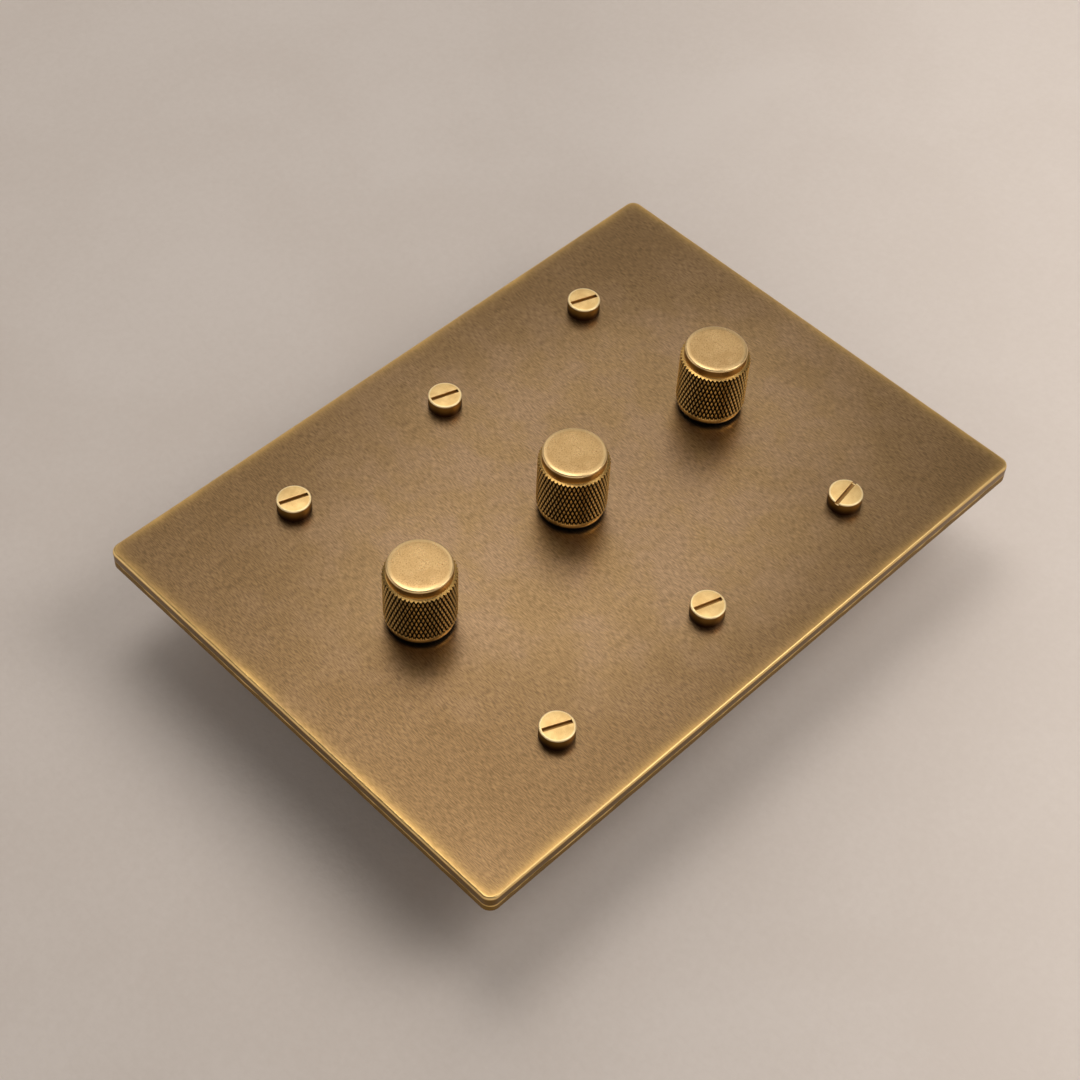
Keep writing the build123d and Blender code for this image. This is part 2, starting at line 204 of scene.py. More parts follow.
FLOOR_PALE = (221, 208, 198)
FLOOR_PALEST = (228, 216, 207)
FLOOR_GLOW = (190, 177, 166)


def add_ring(bm, points):
    return [bm.verts.new(point) for point in points]


def join_rings(bm, lower, upper):
    """Wall of quads between two closed rings of equally many points."""
    for index, corner in enumerate(lower):
        following = (index + 1) % len(lower)
        bm.faces.new((corner, lower[following], upper[following], upper[index]))


def join_stack(bm, rings):
    for lower, upper in zip(rings, rings[1:]):
        join_rings(bm, lower, upper)


def ring_edges(bm, ring):
    """Edges along a closed ring."""
    return [bm.edges.get((ring[index - 1], ring[index])) for index in range(len(ring))]


def circle(radius, height, centre=(0.0, 0.0)):
    """Points around a level circle."""
    turns = [math.tau * step / CIRCLE_STEPS for step in range(CIRCLE_STEPS)]
    return [
        (centre[0] + radius * math.cos(turn), centre[1] + radius * math.sin(turn), height) for turn in turns
    ]


def rounded_outline(half_width, half_height, radius, height):
    """Points around a level rectangle with rounded corners."""
    points = []
    for quarter, (side_x, side_y) in enumerate(((1, 1), (-1, 1), (-1, -1), (1, -1))):
        for step in range(CORNER_STEPS + 1):
            turn = math.pi / 2 * (quarter + step / CORNER_STEPS)
            x = side_x * (half_width - radius) + radius * math.cos(turn)
            y = side_y * (half_height - radius) + radius * math.sin(turn)
            points.append((x, y, height))
    return points


def make_object(name, bm, smooth_below=40):
    """Object from a finished bmesh, shaded smooth except across edges sharper than an angle in degrees."""
    bmesh.ops.recalc_face_normals(bm, faces=bm.faces)
    mesh = bpy.data.meshes.new(name)
    bm.to_mesh(mesh)
    bm.free()
    mesh.shade_smooth()
    mesh.set_sharp_from_angle(angle=math.radians(smooth_below))
    made = bpy.data.objects.new(name, mesh)
    bpy.context.scene.collection.objects.link(made)
    return made


def paint(piece, material):
    """Gives a piece one finish in place of any that it has."""
    piece.data.materials.clear()
    piece.data.materials.append(material)


def finish_piece(piece, material, slot, body, *nodes):
    """Gives a new piece its finish, and puts it in the place of the CAD nodes on their body."""
    paint(piece, material)
    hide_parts(*nodes)
    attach(piece, body)


def build_plate():
    """Plate with rounded arrises, pierced for the bushings and screws."""
    low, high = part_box("front_plate")
    half_width, half_height = high.x, high.y
    bm = bmesh.new()

    def outline(inset, height):
        radius = PLATE_CORNER_RADIUS - inset
        return add_ring(bm, rounded_outline(half_width - inset, half_height - inset, radius, height))

    rings = [outline(PLATE_BACK_ARRIS, low.z), outline(0, low.z + PLATE_BACK_ARRIS)]
    for step in range(ARC_STEPS + 1):
        turn = math.pi / 2 * step / ARC_STEPS
        inset = PLATE_ARRIS * (1 - math.cos(turn))
        rings.append(outline(inset, high.z - PLATE_ARRIS * (1 - math.sin(turn))))
    rings.append(outline(PLATE_FLAT_FROM, high.z))
    join_stack(bm, rings)

    places = [(column * GANG_PITCH, 0, BUSHING_HOLE_RADIUS) for column in (-1, 0, 1)]
    places += [(column * GANG_PITCH, row * SCREW_ROW, SCREW_HOLE_RADIUS) for column, row in SLOT_ANGLES]
    back_edges, front_edges = ring_edges(bm, rings[0]), ring_edges(bm, rings[-1])
    for x, y, radius in places:
        back = add_ring(bm, circle(radius, low.z, (x, y)))
        front = add_ring(bm, circle(radius, high.z, (x, y)))
        join_rings(bm, back, front)
        back_edges += ring_edges(bm, back)
        front_edges += ring_edges(bm, front)
    for edges in (back_edges, front_edges):
        bmesh.ops.triangle_fill(bm, use_beauty=True, edges=edges)
    return make_object("aged_brass_plate", bm)


def screw_blank():
    """Screw without its slot, as one turned surface: head, neck, thread and a blunt end."""
    low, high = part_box("plate_screws")
    head_bottom = high.z - HEAD_HEIGHT
    bm = bmesh.new()
    rings = []

    def add_level(radius, height):
        rings.append(add_ring(bm, circle(radius, height)))

    steps = ARC_STEPS // 2
    for step in range(steps + 1):
        turn = math.pi / 2 * step / steps
        radius = HEAD_RADIUS - HEAD_ARRIS * (1 - math.sin(turn))
        add_level(radius, high.z - HEAD_ARRIS * (1 - math.cos(turn)))
    add_level(HEAD_RADIUS, head_bottom)
    add_level(SHANK_RADIUS, head_bottom)

    # The thread deepens over its first two pitches and runs out over its last.
    thread_top = head_bottom - THREAD_NECK
    rows = THREAD_ROWS * round((thread_top - low.z) / THREAD_PITCH)
    for row in range(rows + 1):
        height = thread_top + (low.z - thread_top) * row / rows
        fade = min(1, row / (2 * THREAD_ROWS), (rows - row) / THREAD_ROWS)
        points = []
        for x, y, z in circle(SHANK_RADIUS, height):
            phase = (height / THREAD_PITCH - math.atan2(y, x) / math.tau) % 1
            depth = THREAD_DEPTH * fade * (1 - abs(2 * phase - 1))
            shrink = 1 - depth / SHANK_RADIUS
            points.append((x * shrink, y * shrink, z))
        rings.append(add_ring(bm, points))
    join_stack(bm, rings)
    bm.faces.new(rings[0])
    bm.faces.new(rings[-1])
    return make_object("screw_blank", bm)


def build_screws():
    """All six screws as one piece, each with its slot milled at its own angle."""
    head_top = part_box("plate_screws")[1].z
    blank = screw_blank()
    cutter = make_object("slot_cutter", bmesh.new())
    cut = blank.modifiers.new("slot", "BOOLEAN")
    cut.object = cutter
    joined = bmesh.new()
    for place, angle in SLOT_ANGLES.items():
        length = 3 * HEAD_RADIUS if place == OPEN_SLOT else 2 * (HEAD_RADIUS - SLOT_RIM)
        bar = bmesh.new()
        bmesh.ops.create_cube(bar, size=1)
        bmesh.ops.scale(bar, vec=(length, SLOT_WIDTH, 2 * SLOT_DEPTH), verts=bar.verts)
        bmesh.ops.translate(bar, vec=(0, 0, head_top), verts=bar.verts)
        bar.to_mesh(cutter.data)
        bar.free()
        graph = bpy.context.evaluated_depsgraph_get()
        graph.update()
        slotted = bpy.data.meshes.new_from_object(blank.evaluated_get(graph))
        x, y = place[0] * GANG_PITCH, place[1] * SCREW_ROW
        slotted.transform(Matrix.Translation((x, y, 0)) @ Matrix.Rotation(math.radians(angle), 4, "Z"))
        joined.from_mesh(slotted)
        bpy.data.meshes.remove(slotted)
    bpy.data.objects.remove(blank)
    bpy.data.objects.remove(cutter)
    return make_object("slotted_brass_screws", joined)


def knob_angles():
    """Angles around the knob: both corners of a knurl tip, then the groove crossing after it."""
    pitch = math.tau / KNURL_COUNT
    shifts = (-KNURL_TIP * pitch / 2, KNURL_TIP * pitch / 2, pitch / 2)
    return [pitch * index + shift for index in range(KNURL_COUNT) for shift in shifts]


def add_knurl(bm, bottom, top):
    """Diamond knurl of blunt pyramids between two heights. Returns its lower and upper rims."""
    half_turn = math.pi / KNURL_COUNT
    half_row = (top - bottom) / KNURL_ROWS
    columns = 2 * KNURL_COUNT

    def on_drum(column, row, radius):
        turn = half_turn * column
        height = bottom + half_row * row
        if row <= 0 or row >= KNURL_ROWS:
            slope = SHOULDER_RISE / (KNURL_RADIUS - CAP_RADIUS)
            height += slope * (KNURL_RADIUS - radius) * (1 if row > 0 else -1)
        return bm.verts.new((radius * math.cos(turn), radius * math.sin(turn), height))

    crossings = {}
    for row in range(KNURL_ROWS + 1):
        for column in range(columns):
            if (column + row) % 2:
                crossings[column, row] = on_drum(column, row, KNURL_RADIUS - KNURL_DEPTH)

    rims = {0: [], KNURL_ROWS: []}
    sides = ((-1, 0), (0, 1), (1, 0), (0, -1))
    for row in range(KNURL_ROWS + 1):
        for column in range(row % 2, columns, 2):
            inside = [side for side in sides if 0 <= row + side[1] <= KNURL_ROWS]
            tips = {
                side: on_drum(column + KNURL_TIP * side[0], row + KNURL_TIP * side[1], KNURL_RADIUS)
                for side in inside
            }
            bm.faces.new(list(tips.values()))
            for index, side in enumerate(sides):
                following = sides[(index + 1) % 4]
                if side in tips and following in tips:
                    near = crossings[(column + side[0]) % columns, row + side[1]]
                    far = crossings[(column + following[0]) % columns, row + following[1]]
                    bm.faces.new((tips[side], tips[following], far, near))
            if row in rims:
                after = crossings[(column + 1) % columns, row]
                rims[row] += [tips[-1, 0], tips[1, 0], after]
    return rims[0], rims[KNURL_ROWS]


def build_knob():
    """Mesh of one knob on its own axis, from the bore and skirt round to the cap."""
    low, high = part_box("middle_knob")
    height = high.z - low.z
    angles = knob_angles()
    bm = bmesh.new()

    def ring(radius, level, flat=None):
        limit = flat or radius
        points = []
        for turn in angles:
            x = min(radius * math.cos(turn), limit)
            points.append((x, radius * math.sin(turn), low.z + level))
        return add_ring(bm, points)

    bore = [ring(BORE_RADIUS, BORE_TOP, BORE_FLAT), ring(BORE_RADIUS, SKIRT_CEILING, BORE_FLAT)]
    skirt = [ring(SKIRT_RADIUS, SKIRT_CEILING), ring(SKIRT_RADIUS, 0)]
    foot = []
    for step in range(ARC_STEPS + 1):
        turn = math.pi * (FOOT_BEAD_START + (1 - 2 * FOOT_BEAD_START) * step / ARC_STEPS)
        level = KNURL_BOTTOM * (1 - math.cos(turn)) / 2
        foot.append(ring(FOOT_RADIUS + FOOT_BULGE * math.sin(turn), level))
    lower_rim, upper_rim = add_knurl(bm, low.z + KNURL_BOTTOM, low.z + KNURL_TOP)
    shoulder = KNURL_TOP + SHOULDER_RISE
    cap = [ring(CAP_RADIUS + extra * MM, shoulder + rise * MM) for extra, rise in CAP_FILLET]
    for step in range(ARC_STEPS + 1):
        turn = math.pi / 2 * step / ARC_STEPS
        radius = CAP_RADIUS - CAP_ROUNDING * (1 - math.cos(turn))
        cap.append(ring(radius, height - CAP_CROWN - CAP_ROUNDING * (1 - math.sin(turn))))
    flat_radius = CAP_RADIUS - CAP_ROUNDING
    for step in range(1, ARC_STEPS):
        share = 1 - (step / ARC_STEPS) ** 2
        radius = flat_radius * (CAP_CENTRE + (1 - CAP_CENTRE) * share)
        cap.append(ring(radius, height - CAP_CROWN * share**CAP_CROWN_POWER))
    cap.append(ring(CAP_CENTRE * flat_radius, height))
    join_stack(bm, [*bore, *skirt, *foot, lower_rim])
    join_stack(bm, [upper_rim, *cap])
    bm.faces.new(bore[0])
    bm.faces.new(cap[-1])
    return make_object("knob_blank", bm, smooth_below=22)


class Finish:
    """Node material under construction. Its coordinates are the object's own, in millimetres."""

    def __init__(self, name, metallic=0.0):
        self.material = bpy.data.materials.new(name)
        self.material.use_nodes = True
        self.tree = self.material.node_tree
        self.shader = self.tree.nodes["Principled BSDF"]
        self.shader.inputs["Metallic"].default_value = metallic
        coordinates = self.tree.nodes.new("ShaderNodeTexCoord").outputs["Object"]
        self.place = self.vector("SCALE", coordinates, scale=1 / MM)
        axes = self.node("SeparateXYZ", {"Vector": self.place})
        self.x, self.y, self.z = axes.outputs

    def node(self, kind, inputs, **settings):
        """Adds a shader node of a kind, with its settings and inputs."""
        made = self.tree.nodes.new("ShaderNode" + kind)
        for name, value in settings.items():
            setattr(made, name, value)
        for name, value in inputs.items():
            self.feed(made.inputs[name], value)
        return made

    def feed(self, socket, value):
        """Links another node's socket to this one, or sets a plain value."""
        if isinstance(value, bpy.types.NodeSocket):
            self.tree.links.new(value, socket)
        else:
            socket.default_value = value

    def vector(self, operation, first, second=None, scale=None):
        made = self.node("VectorMath", {0: first}, operation=operation)
        if second is not None:
            self.feed(made.inputs[1], second)
        if scale is not None:
            self.feed(made.inputs["Scale"], scale)
        return made.outputs["Value" if operation == "LENGTH" else "Vector"]

    def math(self, operation, *values):
        return self.node("Math", dict(enumerate(values)), operation=operation).outputs[0]

    def ramp(self, value, start, end):
        """0 before start, 1 after end and a smooth rise between them."""
        inputs = {"Value": value, "From Min": start, "From Max": end}
        return self.node("MapRange", inputs, interpolation_type="SMOOTHSTEP").outputs["Result"]

    def spread(self, value, low, high):
        """Carries 0 to 1 over to low to high."""
        inputs = {"Value": value, "To Min": low, "To Max": high}
        return self.node("MapRange", inputs).outputs["Result"]

    def noise(self, size, detail=2.0, stretch=(1, 1, 1), distortion=0.0):
        """Noise with features of about that size in millimetres, longer along stretched axes."""
        squeeze = tuple(1 / (size * factor) for factor in stretch)
        placed = self.vector("MULTIPLY", self.place, squeeze)
        inputs = {"Vector": placed, "Scale": 1.0, "Detail": detail, "Distortion": distortion}
        return self.node("TexNoise", inputs).outputs[0]

    def axis_distance(self):
        """Distance from the object's upright axis."""
        return self.vector("LENGTH", self.vector("MULTIPLY", self.place, (1, 1, 0)))

    def invert(self, value):
        return self.math("SUBTRACT", 1, value)

    def blend(self, first, second, share):
        """Mean of two values, with the share as the weight of the second."""
        rest = self.math("MULTIPLY", first, 1 - share)
        return self.math("ADD", rest, self.math("MULTIPLY", second, share))

    def vary(self, value, noise, amount):
        """Value that a noise moves up and down, by the amount in all."""
        return self.math("ADD", value, self.math("MULTIPLY", self.math("SUBTRACT", noise, 0.5), amount))

    def mix(self, share, first, second):
        """Mixes two colours, each a socket or a screen colour."""
        inputs = {0: share}
        for index, end in ((6, first), (7, second)):
            inputs[index] = end if isinstance(end, bpy.types.NodeSocket) else colour(*end)
        return self.node("Mix", inputs, data_type="RGBA").outputs[2]

    def shade(self, tint, roughness, height, depth):
        """Links the colour, the roughness and the height of a bump, with its depth in millimetres."""
        self.feed(self.shader.inputs["Base Color"], tint)
        self.feed(self.shader.inputs["Roughness"], roughness)
        inputs = {"Height": height, "Distance": depth * MM, "Strength": 1.0}
        self.feed(self.shader.inputs["Normal"], self.node("Bump", inputs).outputs["Normal"])
        return self.material


def colour(red, green, blue):
    """Shader colour from the 0 to 255 values that a screen shows."""
    return (*(((c / 255 + 0.055) / 1.055) ** 2.4 for c in (red, green, blue)), 1.0)


def aged_brass():
    """Brown patina with a painted highlight near the middle that fades to painted shade towards the corners,
    rubbed through to gold along the edge.
    """
    low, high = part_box("front_plate")
    half_width, half_height = high.x / MM, high.y / MM
    back, front = low.z / MM, high.z / MM
    finish = Finish("aged_brass", metallic=1.0)
    gap_x = finish.math("SUBTRACT", half_width, finish.math("ABSOLUTE", finish.x))
    gap_y = finish.math("SUBTRACT", half_height, finish.math("ABSOLUTE", finish.y))
    edge = finish.math("SMOOTH_MIN", gap_x, gap_y, 4.0)
    clouds = finish.noise(38, detail=2, distortion=0.6)
    patches = finish.noise(9, detail=4)
    strokes = finish.noise(0.17, detail=1, stretch=(1, 9, 1), distortion=0.3)
    strokes = finish.ramp(strokes, 0.3, 0.7)

    # Painted highlight and shade: the patina is lightest round a spot near the middle and darkens away from
    # it, as a lamp's reflection falls off. Fine strokes lighten and darken it.
    from_highlight_centre = finish.vector("SUBTRACT", finish.place, PAINTED_HIGHLIGHT_CENTRE)
    highlight_falloff = finish.vector("MULTIPLY", from_highlight_centre, (1 / half_width, 1 / half_height, 0))
    highlight_falloff = finish.ramp(finish.vector("LENGTH", highlight_falloff), 0.4, 1.2)
    tone = finish.math("SUBTRACT", 0.7, finish.math("MULTIPLY", highlight_falloff, 0.8))
    tone = finish.vary(finish.vary(tone, clouds, 0.6), patches, 0.5)
    light = finish.mix(finish.ramp(patches, 0.35, 0.65), PATINA, GREY_PATINA)
    field = finish.mix(finish.ramp(tone, -0.25, 1.0), DARK_PATINA_AND_SHADE, light)
    field = finish.vector("SCALE", field, scale=finish.spread(strokes, 0.72, 1.28))

    # Wear fades away from the edge, and the arris itself is bright.
    ragged = finish.math("MAXIMUM", finish.vary(edge, patches, 2.0), 0)
    rubbed = finish.math("POWER", math.e, finish.math("MULTIPLY", ragged, -1.1))
    worn = finish.mix(finish.math("MULTIPLY", rubbed, 0.9), field, RUBBED_GOLD)
    worn = finish.mix(finish.ramp(edge, 0.7, 0.2), worn, FRONT_ARRIS_GOLD)

    side = finish.invert(finish.ramp(finish.z, front - PLATE_ARRIS / MM - 0.15, front - 0.3))
    # The bronze flank gets a painted highlight line along the plate's back arris.
    flank = finish.mix(finish.ramp(finish.z, back + 0.4, back + 0.1), FLANK_BRONZE, BACK_ARRIS_HIGHLIGHT)
    final = finish.mix(side, worn, flank)
    polish = finish.math("MULTIPLY", rubbed, 0.03)
    rough = finish.math("SUBTRACT", finish.spread(patches, 0.33, 0.28), polish)
    return finish.shade(final, rough, strokes, 0.008)


def dark_bronze():
    """Darker patina of the frame, with a painted highlight line where its front arris meets the plate."""
    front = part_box("rear_frame")[1].z / MM
    finish = Finish("dark_bronze", metallic=1.0)
    patches = finish.noise(6, detail=4)
    strokes = finish.noise(0.5, detail=2, stretch=(4, 4, 1))
    # Painted highlight: a light line along the frame's front arris, just below the plate.
    highlight_line = finish.ramp(finish.math("ADD", finish.z, patches), front + 0.15, front + 0.45)
    body = finish.mix(patches, FRAME_BRONZE, FRAME_LIGHT_BRONZE)
    final = finish.mix(highlight_line, body, FRAME_LINE_HIGHLIGHT)
    return finish.shade(final, finish.spread(patches, 0.4, 0.55), strokes, 0.01)


def screw_brass():
    """Turned brass with a painted highlight on its rim and painted shade on its sides, tarnished in the
    slots and on the thread.
    """
    head_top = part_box("plate_screws")[1].z / MM
    head_foot = head_top - HEAD_HEIGHT / MM
    head_radius = HEAD_RADIUS / MM
    pitch = GANG_PITCH / MM
    finish = Finish("screw_brass", metallic=1.0)
    column = finish.math("ROUND", finish.math("DIVIDE", finish.x, pitch))
    local_x = finish.math("SUBTRACT", finish.x, finish.math("MULTIPLY", column, pitch))
    local_y = finish.math("SUBTRACT", finish.math("ABSOLUTE", finish.y), SCREW_ROW / MM)
    local = finish.node("CombineXYZ", {0: local_x, 1: local_y}).outputs[0]
    radius = finish.vector("LENGTH", local)
    patches = finish.noise(1.8, detail=4)
    specks = finish.noise(0.16, detail=2)

    clean = finish.mix(finish.ramp(patches, 0.3, 0.75), SCREW_GOLD, SCREW_DULL_GOLD)
    clean = finish.mix(finish.ramp(specks, 0.58, 0.8), clean, SCREW_SPECKS)
    # Painted highlight along the rim of the head.
    rim_highlight = finish.ramp(radius, head_radius - 0.6, head_radius - 0.2)
    clean = finish.mix(finish.math("MULTIPLY", rim_highlight, 0.8), clean, SCREW_RIM_HIGHLIGHT)
    # Painted shade on the head's side, darkest at its foot.
    outside = finish.ramp(radius, head_radius - 0.15, head_radius - 0.05)
    side = finish.math("MULTIPLY", outside, finish.ramp(finish.z, head_top - 0.2, head_top - 0.45))
    foot_shade = finish.ramp(finish.z, head_top - 0.6, head_foot + 0.4)
    clean = finish.mix(side, clean, finish.mix(foot_shade, SCREW_SHADED_SIDE, SCREW_FOOT_SHADE))
    inside = finish.ramp(radius, head_radius - 0.15, head_radius - 0.4)
    tarnish = finish.math("MULTIPLY", inside, finish.ramp(finish.z, head_top - 0.12, head_top - 0.7))
    final = finish.mix(tarnish, clean, SCREW_TARNISH)
    return finish.shade(final, finish.spread(patches, 0.38, 0.48), specks, 0.004)


def knob_brass():
    """Turned brass: grained cap, painted highlights on the cap's rim, the foot and the knurl, tarnish in the
    knurl's grooves, and painted shade underneath.
    """
    low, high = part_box("middle_knob")
    bottom, top = low.z / MM, high.z / MM
    knurl_bottom, knurl_top = bottom + KNURL_BOTTOM / MM, bottom + KNURL_TOP / MM
    knurl_radius, cap_radius = KNURL_RADIUS / MM, CAP_RADIUS / MM
    finish = Finish("knob_brass", metallic=1.0)
    radius = finish.axis_distance()
    groove = finish.ramp(radius, knurl_radius - 0.07, knurl_radius - 0.75 * KNURL_DEPTH / MM)
    above_foot = finish.ramp(finish.z, knurl_bottom - 0.15, knurl_bottom + 0.05)
    below_cap = finish.ramp(finish.z, knurl_top + 0.05, knurl_top - 0.3)
    knurl = finish.math("MULTIPLY", above_foot, below_cap)
    tarnish = finish.math("MULTIPLY", groove, knurl)
    patches = finish.noise(3.5, detail=4)
    specks = finish.noise(0.28, detail=3, distortion=0.5)

    clean = finish.mix(finish.ramp(patches, 0.3, 0.75), CAP_GOLD, CAP_DULL_GOLD)
    clean = finish.mix(finish.ramp(specks, 0.42, 0.8), clean, CAP_SPECKS)
    # Painted highlight on the cap's rim.
    rim_highlight = finish.ramp(radius, cap_radius - 1.3, cap_radius - 0.4)
    clean = finish.mix(finish.math("MULTIPLY", rim_highlight, 0.65), clean, CAP_RIM_HIGHLIGHT)
    clean = finish.mix(finish.ramp(finish.z, top - 0.3, top - 0.8), clean, KNOB_SIDE)
    # Painted highlight on the bead of the foot.
    clean = finish.mix(finish.invert(above_foot), clean, KNOB_FOOT_HIGHLIGHT)
    # The knurl's brass is painted brighter, as painted glints on its tips.
    clean = finish.mix(knurl, clean, KNURL_GOLD_AND_GLINT)
    # Painted shade underneath the knob, in the near-black of the tarnish in the grooves.
    underside_shade = finish.ramp(finish.z, bottom + 0.9, bottom + 0.4)
    final = finish.mix(finish.math("MAXIMUM", tarnish, underside_shade), clean, KNURL_TARNISH_AND_SHADE)
    rough = finish.math("ADD", finish.spread(patches, 0.24, 0.32), finish.math("MULTIPLY", tarnish, 0.2))
    return finish.shade(final, rough, specks, 0.008)


def brushed_metal(name, light, dark, rough, stretch):
    """Plain drawn or brushed metal with fine lines along one direction."""
    finish = Finish(name, metallic=1.0)
    lines = finish.noise(0.18, detail=3, stretch=stretch)
    clouds = finish.noise(5, detail=3)
    tone = finish.blend(lines, clouds, 0.4)
    final = finish.mix(finish.ramp(tone, 0.3, 0.7), dark, light)
    return finish.shade(final, finish.spread(lines, rough - 0.06, rough + 0.1), lines, 0.01)


def moulding(name, base, sheen, rough):
    """Moulded plastic with a fine sparked grain and slight scuffs."""
    finish = Finish(name)
    grain = finish.noise(0.3, detail=3)
    scuffs = finish.noise(7, detail=5, distortion=0.4)
    final = finish.mix(finish.ramp(scuffs, 0.35, 0.75), base, sheen)
    tone = finish.blend(grain, scuffs, 0.5)
    return finish.shade(final, finish.spread(tone, rough - 0.1, rough + 0.12), grain, 0.03)


def board_laminate():
    """Green laminate with its glass weave showing through."""
    finish = Finish("board")
    warp = finish.math("SINE", finish.math("MULTIPLY", finish.x, 9))
    weft = finish.math("SINE", finish.math("MULTIPLY", finish.y, 9))
    weave = finish.spread(finish.math("MULTIPLY", warp, weft), 0.4, 0.6)
    clouds = finish.noise(8, detail=3)
    tone = finish.math("ADD", weave, finish.math("MULTIPLY", clouds, 0.4))
    final = finish.mix(finish.ramp(tone, 0.4, 1.0), BOARD_GREEN, BOARD_LIGHT_GREEN)
    return finish.shade(final, finish.spread(clouds, 0.3, 0.45), weave, 0.01)


def copper_winding():
    """Lacquered copper turns laid side by side along the coil."""
    finish = Finish("copper_winding", metallic=1.0)
    turns = finish.math("ABSOLUTE", finish.math("SINE", finish.math("MULTIPLY", finish.y, 4.5)))
    clouds = finish.noise(3, detail=3)
    lacquer = finish.mix(clouds, COPPER, LIGHT_COPPER)
    final = finish.mix(finish.ramp(turns, 0.0, 0.5), COPPER_SHADE, lacquer)
    return finish.shade(final, finish.spread(clouds, 0.25, 0.4), turns, 0.2)


def soften_edges(node, width):
    """Rounds the sharp edges of a CAD node's form, as its tool or mould would."""
    weld = node.modifiers.new("weld", "WELD")
    weld.merge_threshold = 0.001 * MM
    flat = node.modifiers.new("flat_faces", "DECIMATE")
    flat.decimate_type = "DISSOLVE"
    flat.angle_limit = math.radians(1)
    edges = node.modifiers.new("edges", "BEVEL")
    edges.width = width
    edges.segments = BEVEL_STEPS
    edges.limit_method = "ANGLE"
    edges.angle_limit = BEVEL_ANGLE
    edges.harden_normals = True


def build_spring(gang, material):
    """Leaf spring in the form of its CAD node, standing on the circuit board."""
    name = f"{gang}_return_spring"
    leaf = bpy.data.objects.new(f"{gang}_leaf_spring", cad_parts[name].data.copy())
    bpy.context.scene.collection.objects.link(leaf)
    finish_piece(leaf, material, "spring_steel", "switch", name)
    soften_edges(leaf, SPRING_ROUNDING)
    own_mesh(leaf)


def make_floor():
    """Plain pale floor under the housings."""
    bm = bmesh.new()
    bmesh.ops.create_grid(bm, x_segments=1, y_segments=1, size=FLOOR_SIZE / 2)
    bmesh.ops.translate(bm, vec=(0, 0, cad_box[0].z), verts=bm.verts)
    floor = make_object("floor", bm)
    finish = Finish("pale_floor")
    clouds = finish.noise(70, detail=5, distortion=0.5)
    grit = finish.noise(1.6, detail=3)
    tone = finish.blend(clouds, grit, 0.3)
    pale = finish.mix(finish.ramp(tone, 0.3, 0.7), FLOOR_PALE, FLOOR_PALEST)
    floor.data.materials.append(finish.shade(pale, finish.spread(grit, 0.6, 0.75), grit, 0.08))

    # Only the camera and reflections see the floor's glow: far out it keeps the floor evenly pale, and
    # towards the right it is painted light that brightens the floor.
    rightward = finish.math("SUBTRACT", finish.x, finish.y)
    right_glow = finish.math("MULTIPLY", finish.ramp(rightward, *GLOW_RIGHT), GLOW_RIGHT_STRENGTH)
    glow = finish.math("MAXIMUM", right_glow, finish.ramp(finish.axis_distance(), *GLOW_FAR))
    rays = finish.node("LightPath", {}).outputs
    seen = finish.math("MAXIMUM", rays["Is Camera Ray"], rays["Is Glossy Ray"])
    finish.feed(finish.shader.inputs["Emission Color"], colour(*FLOOR_GLOW))
    finish.feed(finish.shader.inputs["Emission Strength"], finish.math("MULTIPLY", seen, glow))


def add_lamp(name, place, size, power):
    """Soft rectangular lamp that faces the part and that the camera doesn't see."""
    lamp = bpy.data.lights.new(name, "AREA")
    lamp.shape = "RECTANGLE"
    lamp.size, lamp.size_y = size
    lamp.energy = power
    lamp.color = WARM_WHITE
    made = bpy.data.objects.new(name, lamp)
    bpy.context.scene.collection.objects.link(made)
    made.location = place
    made.visible_camera = False
    made.rotation_euler = (-Vector(place)).to_track_quat("-Z", "Y").to_euler()


def light_scene():
    """Lamps, and weak light from all round, where the camera and reflections see a pale wall low down."""
    world = bpy.data.worlds.new("studio")
    bpy.context.scene.world = world
    world.use_nodes = True
    tree = world.node_tree
    background = tree.nodes["Background"]
    background.inputs["Color"].default_value = (*WARM_WHITE, 1.0)

    direction = tree.nodes.new("ShaderNodeTexCoord").outputs["Generated"]
    axes = tree.nodes.new("ShaderNodeSeparateXYZ")
    wall = tree.nodes.new("ShaderNodeMapRange")
    wall.interpolation_type = "SMOOTHSTEP"
    limits = {"From Min": WALL_GONE, "From Max": WALL_FULL, "To Min": AMBIENT, "To Max": WALL}
    for socket, value in limits.items():
        wall.inputs[socket].default_value = value
    rays = tree.nodes.new("ShaderNodeLightPath")
    shown = tree.nodes.new("ShaderNodeMath")
    shown.use_clamp = True
    strength = tree.nodes.new("ShaderNodeMix")
    strength.inputs[2].default_value = AMBIENT
    tree.links.new(direction, axes.inputs[0])
    tree.links.new(axes.outputs["Z"], wall.inputs["Value"])
    tree.links.new(rays.outputs["Is Camera Ray"], shown.inputs[0])
    tree.links.new(rays.outputs["Is Glossy Ray"], shown.inputs[1])
    tree.links.new(shown.outputs[0], strength.inputs[0])
    tree.links.new(wall.outputs["Result"], strength.inputs[3])
    tree.links.new(strength.outputs[0], background.inputs["Strength"])

    for name, (place, size, power) in LAMPS.items():
        add_lamp(name, place, size, power)


def place_camera():
    """Camera that was fitted to the photograph."""
    camera = bpy.data.objects.new("camera", bpy.data.cameras.new("camera"))
    camera.data.sensor_fit = "HORIZONTAL"
    camera.data.sensor_width = SENSOR_WIDTH
    camera.data.lens = CAMERA_LENS
    camera.data.clip_start = 0.01
    camera.rotation_mode = "QUATERNION"
    camera.location = CAMERA_PLACE
    aim = (CAMERA_TARGET - CAMERA_PLACE).to_track_quat("-Z", "Y")
    camera.rotation_quaternion = aim @ Quaternion((0, 0, 1), CAMERA_ROLL)
    bpy.context.scene.collection.objects.link(camera)
    bpy.context.scene.camera = camera


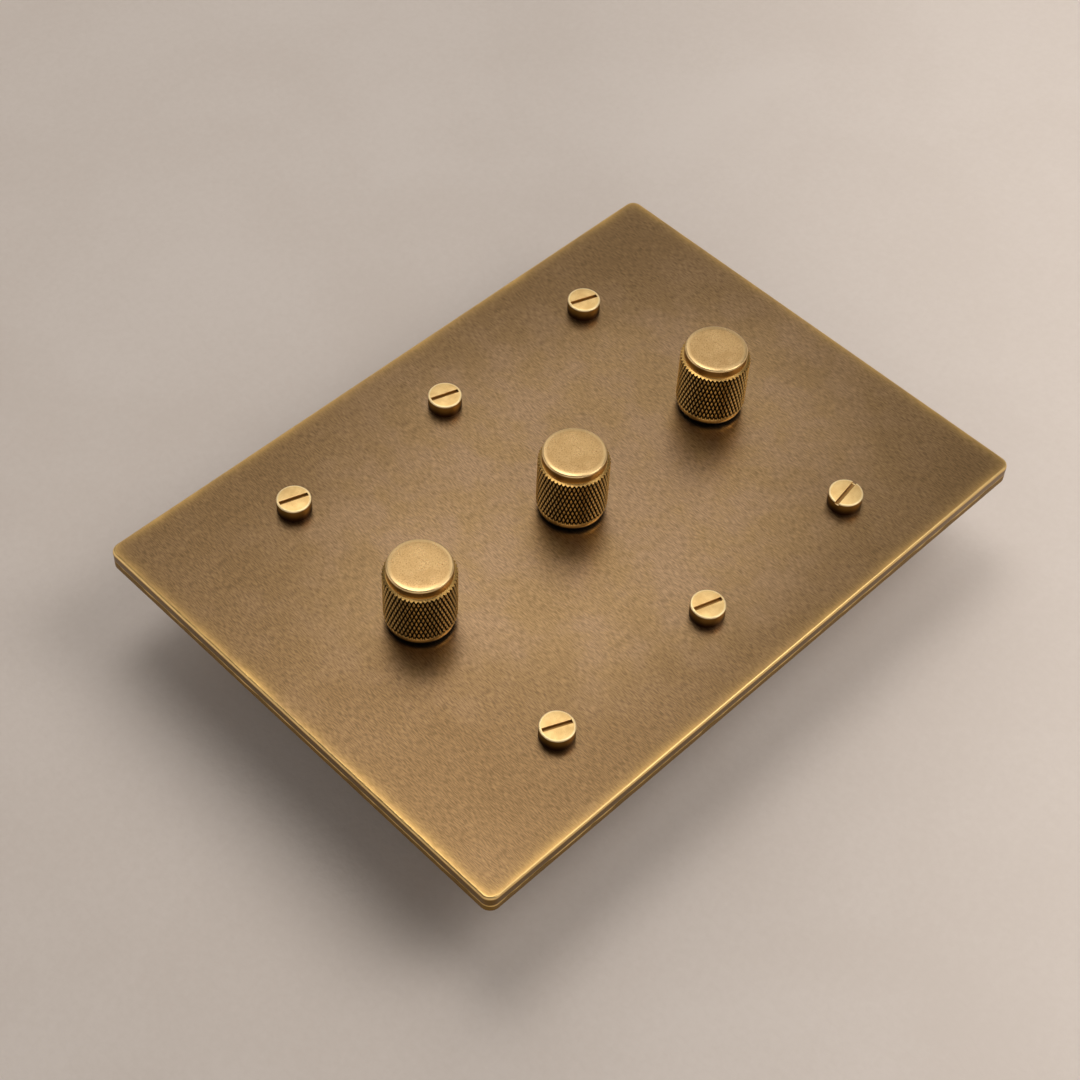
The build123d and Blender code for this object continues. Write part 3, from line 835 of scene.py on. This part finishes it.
# Two colours, a roughness and, for metal, how far its fine lines stretch along each axis.
steel_grey = brushed_metal("steel", (188, 188, 186), (150, 150, 150), 0.3, (1, 1, 6))
spring_grey = brushed_metal("spring_steel", (170, 172, 176), (128, 130, 136), 0.28, (6, 1, 1))
plated = brushed_metal("plated_brass", (206, 196, 170), (168, 154, 122), 0.3, (1, 1, 6))
aluminium = brushed_metal("aluminium", (206, 206, 208), (168, 169, 172), 0.38, (1, 8, 1))
black = moulding("black_moulding", (27, 27, 28), (40, 40, 42), 0.5)
cream = moulding("cream_moulding", (214, 202, 172), (226, 216, 190), 0.45)
grey = moulding("terminal_grey", (118, 120, 122), (138, 140, 142), 0.5)
component = moulding("component_black", (22, 22, 24), (34, 34, 36), 0.4)
yellow = moulding("capacitor_yellow", (204, 160, 34), (220, 180, 60), 0.4)

# Finish of each CAD node that is kept, by its name within the gang, and its edge rounding in millimetres.
MODULE_FINISHES = {
    "shaft": (steel_grey, 0),
    "bushing": (plated, 0),
    "bushing_nut": (plated, 0.15),
    "pot_case": (black, 0.2),
    "wiper_rotor": (cream, 0.2),
    "push_carriage": (cream, 0.25),
    "heat_sink": (aluminium, 0.25),
    "housing": (black, 0.35),
    "circuit_board": (board_laminate(), 0.1),
    "triac": (component, 0.12),
    "choke": (copper_winding(), 0.3),
    "capacitor": (yellow, 0.3),
    "terminal_block": (grey, 0.15),
}

plate = build_plate()
finish_piece(plate, aged_brass(), "aged_brass", "switch", "front_plate")
screws = build_screws()
finish_piece(screws, screw_brass(), "screw_brass", "switch", "plate_screws")

knob_finish = knob_brass()
blank = build_knob()
for gang in GANGS:
    low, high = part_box(f"{gang}_knob")
    knob = bpy.data.objects.new(f"{gang}_knurled_knob", blank.data.copy())
    knob.location.x = (low.x + high.x) / 2
    bpy.context.scene.collection.objects.link(knob)
    finish_piece(knob, knob_finish, "knob_brass", f"{gang}_knob_body", f"{gang}_knob")
    build_spring(gang, spring_grey)
    for piece, (material, rounding) in MODULE_FINISHES.items():
        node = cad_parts[f"{gang}_{piece}"]
        paint(node, material)
        if rounding:
            soften_edges(node, rounding * MM)
bpy.data.objects.remove(blank)

paint(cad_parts["rear_frame"], dark_bronze())

make_floor()
light_scene()
place_camera()
bpy.context.scene.view_settings.view_transform = "Standard"
